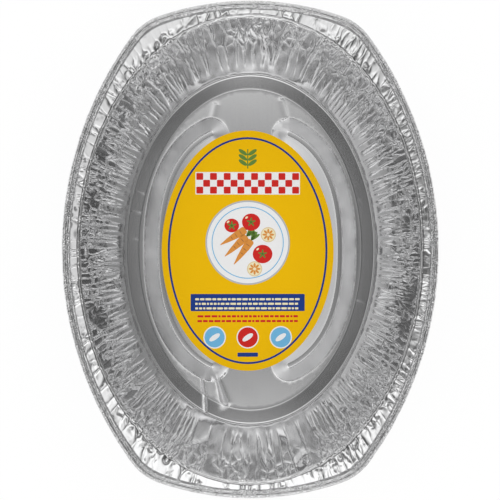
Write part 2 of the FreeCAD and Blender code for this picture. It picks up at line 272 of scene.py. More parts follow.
@dataclass
class FoldField:
    """Folds of the drawn foil, as values over lap coordinates: round the pan, and up the skin.

    The same field shapes the mesh through Geometry Nodes and sharpens it through a material's bump.
    """

    graph: Graph
    lap: Wire

    @property
    def climb(self) -> Wire:
        """Way up the skin from its lower edge."""
        return self.graph.axes(self.lap)[2]

    @property
    def sides(self) -> Wire:
        """1 on the two long sides of the pan, 0 at its ends."""
        return self.graph.axes(self.lap)[0].apart(0.0).ramp(45 * MM, 75 * MM)

    def bent(self, reach: object, scale: float) -> Wire:
        """Lap coordinates pushed about by noise.

        Args:
            reach: how far they are pushed.
            scale: fineness of the noise.

        Returns:
            The pushed coordinates.
        """
        bend = self.graph.noise(self.lap, scale, 2.0, "Color")
        centred = self.graph.joined("SUBTRACT", bend, (0.5, 0.5, 0.5))
        return self.graph.joined("ADD", self.lap, self.graph.scaled(centred, reach))

    def ridges(self, bent: Wire, pitch: object, run: object, half: float, shift: float) -> Wire:
        """Rounded ridges along the edges of stretched cells.

        Args:
            bent: lap coordinates, bent or plain.
            pitch: width of a cell round the pan.
            run: length of a cell up the skin.
            half: half width of a ridge, as a share of a cell.
            shift: moves the cells, so that two fields differ.

        Returns:
            1 on a ridge, falling to 0 beside it.
        """
        across, along, climb = self.graph.axes(bent)
        place = self.graph.vector(across / pitch + shift, along / pitch, climb / run + shift)
        return 1.0 - self.graph.cell_edge(place).ramp(0.0, half)

    def pleats(self, pitch: object, run: object, half: float) -> Wire:
        """Long folds up the wall: close and straight on the sides, wide apart and wandering at the ends.

        Args:
            pitch: from fold to fold on the sides.
            run: length of a fold.
            half: half width of a ridge, as a share of a cell.

        Returns:
            About 1 on a fold and 0 beside it.
        """
        reach = self.climb.ramp(10 * MM, 50 * MM, 1.2 * MM, 6.0 * MM)
        bent = self.bent(reach, 60.0)
        sides = self.sides
        strength = self.graph.noise(self.lap, 42.0).ramp(0.3, 0.58, 0.3, 1.2)
        fading = self.climb.ramp(34 * MM, 52 * MM, 1.0, 0.5)
        close = self.ridges(bent, pitch, run, half, 3.0) * strength * sides * fading
        apart = self.ridges(bent, pitch * 1.9, run * 2.2, half * 0.62, 5.0) * (1.0 - sides)
        return close + apart * strength * self.climb.ramp(4 * MM, 22 * MM)

    def crumples(self, pitch: object, half: float) -> Wire:
        """Short folds in every direction, in patches.

        Args:
            pitch: from fold to fold.
            half: half width of a ridge, as a share of a cell.

        Returns:
            About 1 on a fold and 0 beside it.
        """
        patch = self.graph.noise(self.lap, 50.0).ramp(0.4, 0.56) * (0.5 + 0.5 * self.sides)
        return self.ridges(self.bent(4.5 * MM, 95.0), pitch, pitch * 1.9, half, 9.0) * patch

    def crimps(self, pitch: object, half: float) -> Wire:
        """Folds across the flange: close and deep on the right, here and there on the rest.

        Args:
            pitch: from fold to fold on the right.
            half: half width of a ridge, as a share of a cell.

        Returns:
            About 1 on a fold and 0 beside it.
        """
        right = self.graph.axes(self.lap)[0].ramp(20 * MM, 110 * MM)
        strength = self.graph.noise(self.lap, 48.0).ramp(0.35, 0.6, 0.1, 1.2)
        bent = self.bent(3.5 * MM, 90.0)
        close = self.ridges(bent, pitch, pitch * 3.5, half, 15.0) * right
        apart = self.ridges(bent, pitch * 1.7, pitch * 6.0, half * 0.5, 17.0) * (1.0 - right) * 0.8
        return (close + apart) * strength

    def buckles(self, pitch: object) -> Wire:
        """Flat-sided dents that meet in sharp lines.

        Args:
            pitch: from dent to dent.

        Returns:
            0 on a line, rising towards the middle of a dent.
        """
        place = self.graph.joined("DIVIDE", self.bent(4 * MM, 90.0), self.graph.vector(pitch, pitch, pitch))
        return self.graph.cell_edge(place) * 2.0


@dataclass(frozen=True)
class PanSizes:
    """Sizes of the pressed sheet, as its solid has them."""

    half_width: float = 140.2 * MM
    half_length: float = 185.0 * MM
    height: float = 70.0 * MM
    foil: float = 0.15 * MM
    side_radius: float = 268.5 * MM
    end_radius: float = 207.7 * MM
    corner_radius: float = 44.5 * MM
    bead: float = 4.2 * MM
    lip_run: float = 1.0 * MM
    lip_rise: float = 4.3 * MM
    flange_side: float = 7.7 * MM
    flange_end: float = 6.1 * MM
    wall_run_side: float = 19.1 * MM
    wall_run_end: float = 21.6 * MM
    foot_run: float = 9.9 * MM
    foot_rise: float = 9.0 * MM
    foot_blend: float = 0.5 * MM
    base_edge: float = 11.1 * MM
    rib_rise: float = 5.0 * MM
    rib_crest: float = 3.4 * MM
    rib_slope: float = 14.0 * MM
    rib_margin: float = 2.8 * MM
    rib_end_margin: float = 31.5 * MM
    rib_tip_drop: float = 6.5 * MM
    rib_squareness: float = 2.4

    @property
    def lip_inset(self) -> float:
        """From the outer edge of the rim to the foot of the lip."""
        return self.bead + self.lip_run

    @property
    def flange_height(self) -> float:
        """Height of the under side of the flange."""
        return self.height - self.lip_rise

    @property
    def crease_half_width(self) -> float:
        """Half width at the crease between foot and wall."""
        return self.half_width - self.lip_inset - self.flange_side - self.wall_run_side

    @property
    def crease_half_length(self) -> float:
        """Half length at the crease between foot and wall."""
        return self.half_length - self.lip_inset - self.flange_end - self.wall_run_end

    def crease(self, place: float) -> tuple[Vector, Vector]:
        """Point of the crease and the level direction straight out of it.

        Args:
            place: eccentric angle of the point.

        Returns:
            The point at height 0 and the direction.
        """
        width, length = self.crease_half_width, self.crease_half_length
        point = Vector((width * math.cos(place), length * math.sin(place), 0))
        facing = Vector((length * math.cos(place), width * math.sin(place), 0)).normalized()
        return point, facing


class RimOutline:
    """Outer edge of the rim: in each quarter a side arc, a corner arc and an end arc, all tangent."""

    def __init__(self, sizes: PanSizes) -> None:
        """Place the three arcs of a quarter."""
        side = Vector((sizes.half_width - sizes.side_radius, 0))
        end = Vector((0, sizes.half_length - sizes.end_radius))
        apart = (end - side).length
        from_side = sizes.side_radius - sizes.corner_radius
        from_end = sizes.end_radius - sizes.corner_radius
        along = (apart**2 + from_side**2 - from_end**2) / (2 * apart)
        across = math.sqrt(from_side**2 - along**2)
        forward = (end - side).normalized()
        sideways = Vector((forward.y, -forward.x)) * across
        foot = side + forward * along
        corner = max((foot + sideways, foot - sideways), key=lambda point: point.x + point.y)
        side_stop = math.atan2((corner - side).y, (corner - side).x)
        end_start = math.atan2((corner - end).y, (corner - end).x)
        self.arcs = (
            (side, sizes.side_radius, side_stop),
            (corner, sizes.corner_radius, end_start),
            (end, sizes.end_radius, math.pi / 2),
        )

    def toward(self, turn: float, inset: float) -> tuple[Vector, Vector]:
        """Point on the inset outline in a given direction from the middle.

        Args:
            turn: direction from the middle of the pan.
            inset: how far the outline is moved in.

        Returns:
            The point and the level direction straight out of the outline there.
        """
        ray = Vector((abs(math.cos(turn)), abs(math.sin(turn))))
        for centre, radius, stop in self.arcs:
            middle = ray.dot(centre)
            reach = middle**2 - centre.length_squared + (radius - inset) ** 2
            found = ray * (middle + math.sqrt(max(reach, 0.0)))
            facing = (found - centre).normalized()
            if math.atan2(facing.y, facing.x) <= stop + 1e-6:
                break
        flip_x, flip_y = math.copysign(1, math.cos(turn)), math.copysign(1, math.sin(turn))
        point = Vector((found.x * flip_x, found.y * flip_y, 0))
        return point, Vector((facing.x * flip_x, facing.y * flip_y, 0))


@dataclass
class Skin:
    """Rows of points round the pan, with what the folds need to know at each point."""

    points: list[Vector] = field(default_factory=list)
    facings: list[Vector] = field(default_factory=list)
    laps: list[Vector] = field(default_factory=list)
    edges: list[float] = field(default_factory=list)
    corners: list[float] = field(default_factory=list)
    faces: list[tuple[int, ...]] = field(default_factory=list)

    def add(self, point: Vector, facing: Vector, lap: Vector, edge: float, corner: float = 0.0) -> None:
        """Add one point with the way it folds, its lap, its way to the edge and its share of buckles.

        Args:
            point: its place.
            facing: direction in which folds push it.
            lap: its lap coordinates.
            edge: distance to the nearest edge of the skin, where folds fade out.
            corner: share of the buckles that it gets.
        """
        self.points.append(point)
        self.facings.append(facing)
        self.laps.append(lap)
        self.edges.append(edge)
        self.corners.append(corner)

    def close_rows(self, rows: int, count: int) -> None:
        """Join rows of count points each, first to last, all the way round.

        Args:
            rows: number of rows.
            count: points in each.
        """
        for row in range(rows - 1):
            low, high = row * count, (row + 1) * count
            for here in range(count):
                there = (here + 1) % count
                self.faces.append((low + here, low + there, high + there, high + here))

    def to_object(self, name: str) -> bpy.types.Object:
        """Make a mesh object that carries the skin's attributes.

        Args:
            name: name of the object.

        Returns:
            The object, linked to the scene.
        """
        mesh = bpy.data.meshes.new(name)
        mesh.from_pydata([tuple(point) for point in self.points], [], self.faces)
        for label, vectors in (("facing", self.facings), ("lap", self.laps)):
            attribute = mesh.attributes.new(label, "FLOAT_VECTOR", "POINT")
            flat = np.array([tuple(value) for value in vectors], dtype=np.float32).ravel()
            attribute.data.foreach_set("vector", flat)
        for label, numbers in (("edge", self.edges), ("corner", self.corners)):
            attribute = mesh.attributes.new(label, "FLOAT", "POINT")
            attribute.data.foreach_set("value", np.array(numbers, dtype=np.float32))
        mesh.shade_smooth()
        return linked(name, mesh)


@dataclass(frozen=True)
class FoldSettings:
    """Depths and reaches of the folds on one skin; climbs are measured up the skin from its lower edge."""

    pleat_height: float = 0.0
    pleat_pitch: float = 4.3 * MM
    pleat_run: float = 42.0 * MM
    pleat_from: float = 5.5 * MM
    pleat_full: float = 13.0 * MM
    crumple_height: float = 0.0
    crumple_pitch: float = 6.6 * MM
    crumple_from: float = 28.0 * MM
    crumple_full: float = 46.0 * MM
    crimp_height: float = 0.0
    crimp_pitch: float = 4.6 * MM
    buckle_height: float = 0.0
    buckle_pitch: float = 7.0 * MM
    swell_height: float = 0.0
    swell_size: float = 12.0 * MM
    inward: float = 0.0


class FoldTree:
    """Geometry Nodes that fold a skin: pleats, crumples, crimps, corner buckles and slow swells."""

    def __init__(self) -> None:
        """Build the tree once; each skin gives it its own inputs."""
        self.tree = bpy.data.node_groups.new("foil_folds", "GeometryNodeTree")
        face = self.tree.interface
        face.new_socket("Geometry", in_out="INPUT", socket_type="NodeSocketGeometry")
        self.sockets = {}
        for name in FoldSettings.__dataclass_fields__:
            item = face.new_socket(name, in_out="INPUT", socket_type="NodeSocketFloat")
            self.sockets[name] = item.identifier
        foil = face.new_socket("foil", in_out="INPUT", socket_type="NodeSocketMaterial")
        self.foil_socket = foil.identifier
        face.new_socket("Geometry", in_out="OUTPUT", socket_type="NodeSocketGeometry")
        self._build(Graph(self.tree))

    def _build(self, graph: Graph) -> None:
        """Add the nodes.

        Args:
            graph: the tree to fill.
        """
        entry = graph.node("NodeGroupInput", {}, {})
        size = {name: Wire(graph, entry.outputs[name]) for name in self.sockets}

        def stored(name: str, kind: str) -> Wire:
            """Read an attribute of the skin."""
            return graph.out("GeometryNodeInputNamedAttribute", {"data_type": kind}, {"Name": name})

        folds = FoldField(graph, stored("lap", "FLOAT_VECTOR"))
        climb = folds.climb
        pleats = folds.pleats(size["pleat_pitch"], size["pleat_run"], MESH_CRESTS.pleat)
        pleats = pleats * size["pleat_height"]
        pleats = pleats * climb.ramp(size["pleat_from"], size["pleat_full"])
        crumples = folds.crumples(size["crumple_pitch"], MESH_CRESTS.crumple) * size["crumple_height"]
        crumples = crumples * climb.ramp(size["crumple_from"], size["crumple_full"])
        crimps = folds.crimps(size["crimp_pitch"], MESH_CRESTS.crimp) * size["crimp_height"]
        buckles = folds.buckles(size["buckle_pitch"]) * stored("corner", "FLOAT") * size["buckle_height"]
        broad = graph.vector(size["swell_size"], size["swell_size"], size["swell_size"] * 2.5)
        swells = (graph.noise(graph.joined("DIVIDE", folds.lap, broad), 1.0) - 0.5) * size["swell_height"]
        fade = stored("edge", "FLOAT").ramp(0.0, 1.3 * MM)
        height = (pleats + crumples + crimps + buckles + swells) * fade - size["inward"]
        push = graph.scaled(stored("facing", "FLOAT_VECTOR"), height)
        moves = {"Geometry": entry.outputs["Geometry"], "Offset": push}
        moved = graph.out("GeometryNodeSetPosition", {}, moves)
        solid = graph.out("GeometryNodeRealizeInstances", {}, {"Geometry": moved})
        dress = {"Geometry": solid, "Material": entry.outputs["foil"]}
        dressed = graph.out("GeometryNodeSetMaterial", {}, dress)
        graph.node("NodeGroupOutput", {}, {"Geometry": dressed})

    def fold(self, skin: bpy.types.Object, settings: FoldSettings, foil: bpy.types.Material) -> None:
        """Run the tree on a skin, with its own inputs.

        Args:
            skin: object to fold.
            settings: depths and reaches of the folds.
            foil: material of the skin.
        """
        modifier = skin.modifiers.new("folds", "NODES")
        modifier.node_group = self.tree
        for name, identifier in self.sockets.items():
            modifier[identifier] = getattr(settings, name)
        modifier[self.foil_socket] = foil


@dataclass(frozen=True)
class FoilFinish:
    """Bright rolled foil: satin, with rolling streaks, fine grain and sharp folds where it was drawn.

    Each entry of painted_shade_lines is painted shade along a crease or groove of the skin, broken into
    dashes: its climb, its half width and how strongly it darkens the colour.
    """

    name: str
    roughness: float = 0.10
    slope_roughness: float = 0.0
    grain: float = 0.010 * MM
    pleat_height: float = 0.0
    crumple_height: float = 0.0
    crimp_height: float = 0.0
    dent_height: float = 0.0
    dent_pitch: float = 3.0 * MM
    painted_shade_lines: tuple[tuple[float, float, float], ...] = ()
    tint: tuple[float, float, float] = (0.90, 0.90, 0.905)

    def sharp_folds(self, folds: FoldField, base: FoldSettings) -> Wire:
        """Narrow crests on the same lines as the folds of the mesh.

        Args:
            folds: the field over the skin's lap.
            base: pitches and reaches that the mesh has.

        Returns:
            Height of the crests.
        """
        crests = []
        if self.pleat_height:
            crest = folds.pleats(base.pleat_pitch, base.pleat_run, BUMP_CRESTS.pleat)
            crest = crest * self.pleat_height
            crests.append(crest * folds.climb.ramp(base.pleat_from + 1 * MM, base.pleat_full))
        if self.crumple_height:
            crest = folds.crumples(base.crumple_pitch, BUMP_CRESTS.crumple) * self.crumple_height
            crests.append(crest * folds.climb.ramp(base.crumple_from, base.crumple_full))
        if self.crimp_height:
            crest = folds.crimps(base.crimp_pitch, BUMP_CRESTS.crimp) * self.crimp_height
            crests.append(crest * folds.climb.ramp(SHOULDER_CLIMB + 1.8 * MM, SHOULDER_CLIMB + 3 * MM))
        return sum(crests) * folds.climb.apart(SHOULDER_CLIMB).ramp(0.2 * MM, 1.6 * MM)

    def shaded(self, colour: Wire, folds: FoldField) -> Wire:
        """Colour darkened by painted shade along the creases, broken up into dashes.

        Args:
            colour: colour of the bare foil.
            folds: the field over the skin's lap.

        Returns:
            The darkened colour.
        """
        dashes = folds.graph.noise(folds.lap, 260.0).ramp(0.36, 0.56, 0.25, 1.0)
        for place, half, depth in self.painted_shade_lines:
            # Painted shade: the foil's colour is darkened where a crease or groove would lie in shadow.
            painted_shade = folds.climb.apart(place).ramp(half * 0.4, half, depth, 0.0) * dashes
            colour = folds.graph.scaled(colour, 1.0 - painted_shade)
        return colour

    def material(self) -> bpy.types.Material:
        """Make the material.

        Returns:
            The foil material, which reads Object coordinates and the skin's own lap.
        """
        made, graph = blank_material(self.name)
        place = graph.out("ShaderNodeTexCoord", {}, {}, "Object")
        across, along, up = graph.axes(place)
        streak = graph.noise(graph.vector(across * 900.0, along * 30.0, up * 200.0), 1.0, 3.0)
        cloud = graph.noise(place, 60.0, 3.0)
        rough = self.roughness * (0.8 + 0.25 * cloud + 0.2 * streak)
        if self.slope_roughness:
            # Only the slopes of the ribs: inside the foot, above the flat base and below the crests.
            width, length = FLAT_BASE
            away = (across / width) * (across / width) + (along / length) * (along / length)
            slopes = away.ramp(1.04, 0.96) * up.ramp(0.35 * MM, 0.9 * MM) * up.ramp(5.0 * MM, 4.6 * MM)
            rough = rough + slopes * (self.slope_roughness - self.roughness)
        colour = graph.scaled(self.tint, 0.94 + 0.06 * streak)
        bumps = graph.noise(place, 600.0, 3.0) * self.grain + streak * (self.grain * 0.4)
        folds = FoldField(graph, graph.out("ShaderNodeAttribute", {"attribute_name": "lap"}, {}, "Vector"))
        colour = self.shaded(colour, folds)
        if self.pleat_height or self.crumple_height or self.crimp_height:
            bumps = bumps + self.sharp_folds(folds, FoldSettings())
        if self.dent_height:
            bend = graph.scaled(graph.noise(place, 140.0, 2.0, "Color"), 5 * MM)
            cells = graph.scaled(graph.joined("ADD", place, bend), 1.0 / self.dent_pitch)
            fine = 1.0 - graph.cell_edge(cells).ramp(0.0, 0.22)
            bumps = bumps + fine * graph.noise(place, 90.0).ramp(0.35, 0.6) * self.dent_height
        normal = graph.out("ShaderNodeBump", {}, {"Strength": 1.0, "Distance": 1.0, "Height": bumps})
        shader = graph.out(
            "ShaderNodeBsdfPrincipled",
            {},
            {"Base Color": colour, "Metallic": 1.0, "Roughness": rough, "Normal": normal},
        )
        graph.node("ShaderNodeOutputMaterial", {}, {"Surface": shader})
        return made


def girth_along(points: Sequence[Vector]) -> list[float]:
    """Way round a closed line of points, at each point and once more at the first.

    Args:
        points: the line, in order.

    Returns:
        The way from the first point to each, and last the whole girth.
    """
    girth = [0.0]
    for here, there in zip(points, [*points[1:], points[0]]):
        girth.append(girth[-1] + (there - here).length)
    return girth


def on_drum(radius: float, turn: float, climb: float) -> Vector:
    """Lap coordinates: a place on a drum as wide as the skin, so that the folds close up all round."""
    return Vector((radius * math.cos(turn), radius * math.sin(turn), climb))


def baked(piece: bpy.types.Object, thickness: float) -> bpy.types.Object:
    """Give a skin its thickness and turn it into a plain closed mesh.

    Args:
        piece: object with its modifiers still live.
        thickness: thickness of the sheet, laid on behind the skin.

    Returns:
        The same object, with the finished mesh and no modifiers.
    """
    wall = piece.modifiers.new("sheet", "SOLIDIFY")
    wall.thickness = thickness
    wall.offset = -1.0
    wall.use_rim = True
    depsgraph = bpy.context.evaluated_depsgraph_get()
    mesh = bpy.data.meshes.new_from_object(piece.evaluated_get(depsgraph))
    piece.modifiers.clear()
    piece.data = mesh
    mesh.name = piece.name
    mesh.shade_smooth()
    return piece


@dataclass
class WallSection:
    """Corners of the section of wall and flange at one place round the pan."""

    sizes: PanSizes
    rim: RimOutline
    place: float

    def __post_init__(self) -> None:
        """Work out foot, shoulder and flange edge, and which way wall and flange run."""
        sizes = self.sizes
        crease, self.out = sizes.crease(self.place)
        self.sideness = math.cos(self.place) ** 2
        run = sizes.wall_run_side * self.sideness + sizes.wall_run_end * (1 - self.sideness)
        self.foot = crease + UP * (sizes.foot_rise + sizes.foil)
        self.shoulder = crease + self.out * run + UP * (sizes.flange_height + sizes.foil)
        turn = math.atan2(self.shoulder.y, self.shoulder.x)
        stop, _facing = self.rim.toward(turn, sizes.lip_inset)
        self.stop = stop + UP * self.shoulder.z
        self.leaving = (self.stop - self.shoulder).normalized()

    def facing(self, rising: Vector) -> Vector:
        """Direction out of the wall's inner side, for the way that the wall rises."""
        return (UP * rising.dot(self.out) - self.out * rising.z).normalized()


def sections_round(
    sizes: PanSizes, rim: RimOutline, count: int = 1500, crowding: float = 0.2
) -> list[WallSection]:
    """Sections all the way round the pan, closer together at the sides, where the pleats are close.

    Args:
        sizes: sizes of the sheet.
        rim: outer edge of the rim.
        count: number of sections.
        crowding: how unevenly they stand; 0 is even.

    Returns:
        The sections, counterclockwise from the right side.
    """
    turns = [TAU * step / count for step in range(count)]
    return [WallSection(sizes, rim, turn - crowding * math.sin(2 * turn)) for turn in turns]


@dataclass
class PanWall:
    """Pleated wall, from the crease of the foot to the shoulder."""

    sizes: PanSizes
    sections: list[WallSection]
    low_rows: tuple[float, ...] = (0.05, 0.1, 0.15, 0.2, 0.27, 0.345, 0.42)
    high_rows: int = 19
    climb: float = SHOULDER_CLIMB
    foot_bow: float = 0.6 * MM
    foot_bow_share: float = 0.1
    ledge: tuple[tuple[float, float], ...] = ((0.0, 0.0), (0.12, 0.17), (0.5, 0.24), (1.0, 0.12))
    folds: FoldSettings = FoldSettings(
        pleat_height=0.46 * MM, crumple_height=0.38 * MM, swell_height=1.3 * MM
    )

    def build(self, tree: FoldTree, foil: bpy.types.Material) -> bpy.types.Object:
        """Make the wall.

        Args:
            tree: the folding nodes.
            foil: material of the skin.

        Returns:
            The finished piece.
        """
        skin = Skin()
        girth = girth_along([section.foot.lerp(section.shoulder, 0.5) for section in self.sections])
        radius = girth[-1] / TAU
        last = self.low_rows[-1]
        close = [last + (1 - last) * step / self.high_rows for step in range(1, self.high_rows)]
        shares = [0.0, 0.006, *self.low_rows, *close, 0.992, 1.0]
        stations = len(self.ledge) + len(shares)
        last_out, last_up = (part * MM for part in self.ledge[-1])
        for station in range(stations):
            for section, lap in zip(self.sections, girth):
                start = section.foot + section.out * (last_out + 0.12 * MM) + UP * (last_up - 0.05 * MM)
                rising = (section.shoulder - start).normalized()
                if station < len(self.ledge):
                    out, up = (part * MM for part in self.ledge[station])
                    point, facing, climb = section.foot + section.out * out + UP * up, UP, out
                else:
                    share = shares[station - len(self.ledge)]
                    bow = (1.0 - math.exp(-share / self.foot_bow_share)) * (1.0 - share) * section.sideness
                    point = start.lerp(section.shoulder, share) + section.out * (self.foot_bow * bow)
                    facing = section.facing(rising)
                    climb = last_out + (self.climb - last_out) * share
                lap_point = on_drum(radius, lap / radius, climb)
                skin.add(point, facing, lap_point, min(climb, self.climb - climb))
        skin.close_rows(stations, len(self.sections))
        piece = skin.to_object("pan_wall")
        tree.fold(piece, self.folds, foil)
        return baked(piece, self.sizes.foil)


@dataclass
class PanFlange:
    """Crimped flange, from the shoulder of the wall to the foot of the lip."""

    sizes: PanSizes
    sections: list[WallSection]
    rows: int = 10
    climb: float = SHOULDER_CLIMB
    shoulder_bead: tuple[tuple[float, float], ...] = (
        (0.0, 0.0),
        (0.2, 0.2),
        (0.42, 0.75),
        (0.5, 1.15),
        (0.3, 1.55),
        (0.02, 1.85),
    )
    folds: FoldSettings = FoldSettings(crimp_height=0.6 * MM, buckle_height=3.2 * MM, swell_height=0.9 * MM)

    def build(self, tree: FoldTree, foil: bpy.types.Material) -> bpy.types.Object:
        """Make the flange.

        Args:
            tree: the folding nodes.
            foil: material of the skin.

        Returns:
            The finished piece.
        """
        skin = Skin()
        girth = girth_along([section.shoulder for section in self.sections])
        radius = girth[-1] / TAU
        stations = [*self.shoulder_bead, *((0.0, step / self.rows) for step in range(1, self.rows + 1))]
        for lift, share in stations:
            for section, lap in zip(self.sections, girth):
                width = (section.stop - section.shoulder).length
                bead = self.shoulder_bead[-1][1] * MM
                reach = share * MM if lift or not share else bead + (width - bead) * share
                widening = min(max(width / self.sizes.flange_side - 1.35, 0.0), 1.0)
                near_wall = 1.0 - min(max((reach - 5 * MM) / (4 * MM), 0.0), 1.0)
                point = section.shoulder + section.leaving * reach + UP * (lift * MM)
                lap_point = on_drum(radius, lap / radius, self.climb + reach)
                skin.add(point, UP, lap_point, min(reach, width - reach), widening * near_wall)
        skin.close_rows(len(stations), len(self.sections))
        piece = skin.to_object("pan_flange")
        tree.fold(piece, self.folds, foil)
        return baked(piece, self.sizes.foil)


@dataclass
class PanRim:
    """Upright lip and rolled edge, swept round the rim outline."""

    sizes: PanSizes
    rim: RimOutline
    count: int = 1100
    profile: tuple[tuple[float, float], ...] = (
        (5.75, 65.86),
        (5.3, 66.2),
        (4.6, 67.1),
        (4.0, 68.15),
        (3.75, 68.7),
        (3.35, 68.9),
        (3.3, 69.1),
        (3.45, 69.3),
        (3.3, 69.6),
        (2.85, 69.75),
        (2.2, 69.75),
        (1.6, 69.55),
        (1.0, 69.1),
        (0.5, 68.45),
        (0.18, 67.7),
        (0.05, 66.8),
        (0.1, 66.0),
        (0.4, 65.45),
        (0.9, 65.2),
        (1.4, 65.4),
    )
    folds: FoldSettings = FoldSettings(
        pleat_height=0.14 * MM,
        pleat_pitch=3.6 * MM,
        pleat_run=6.0 * MM,
        pleat_from=-1.0 * MM,
        pleat_full=0.5 * MM,
        swell_height=0.16 * MM,
        swell_size=6.0 * MM,
        inward=0.27 * MM,
    )

    def build(self, tree: FoldTree, foil: bpy.types.Material) -> bpy.types.Object:
        """Make the rim.

        Args:
            tree: the folding nodes.
            foil: material of the skin.

        Returns:
            The finished piece.
        """
        skin = Skin()
        lap_radius = (self.sizes.half_width + self.sizes.half_length) / 2
        climb, last = 0.0, self.profile[0]
        ahead = [*self.profile[1:], self.profile[-1]]
        behind = [self.profile[0], *self.profile[:-1]]
        for here, after, before in zip(self.profile, ahead, behind):
            climb += math.hypot(here[0] - last[0], here[1] - last[1]) * MM
            last = here
            run, rise = (before[0] - after[0]) * MM, (after[1] - before[1]) * MM
            for step in range(self.count):
                turn = TAU * step / self.count
                point, facing = self.rim.toward(turn, here[0] * MM)
                point = point + UP * (here[1] * MM)
                outward = (UP * run - facing * rise).normalized()
                skin.add(point, outward, on_drum(lap_radius, turn, climb), climb)
        skin.close_rows(len(self.profile), self.count)
        piece = skin.to_object("pan_rim")
        tree.fold(piece, self.folds, foil)
        return baked(piece, self.sizes.foil)


@dataclass(frozen=True)
class BaseFold:
    """A sharp fold or dent line in the base, from one place to another, in millimetres."""

    start: tuple[float, float]
    stop: tuple[float, float]
    width: float
    height: float
    spread: float = 0.0

    def rise_at(self, across: np.ndarray, along: np.ndarray) -> np.ndarray:
        """Height of the fold at many places.

        Args:
            across: places along X.
            along: places along Y.

        Returns:
            The rise at each place.
        """
        start, stop = np.array(self.start) * MM, np.array(self.stop) * MM
        line = stop - start
        length = float(np.hypot(*line))
        line = line / length
        ahead = ((across - start[0]) * line[0] + (along - start[1]) * line[1]) / length
        aside = (across - start[0]) * -line[1] + (along - start[1]) * line[0]
        width = (self.width + self.spread * np.clip(ahead, 0, 1)) * MM
        taper = np.clip(ahead * 4 + 0.3, 0, 1) * np.clip((1 - ahead) * 8 + 0.4, 0, 1)
        return self.height * MM * taper * np.exp(-((aside / width) ** 2))


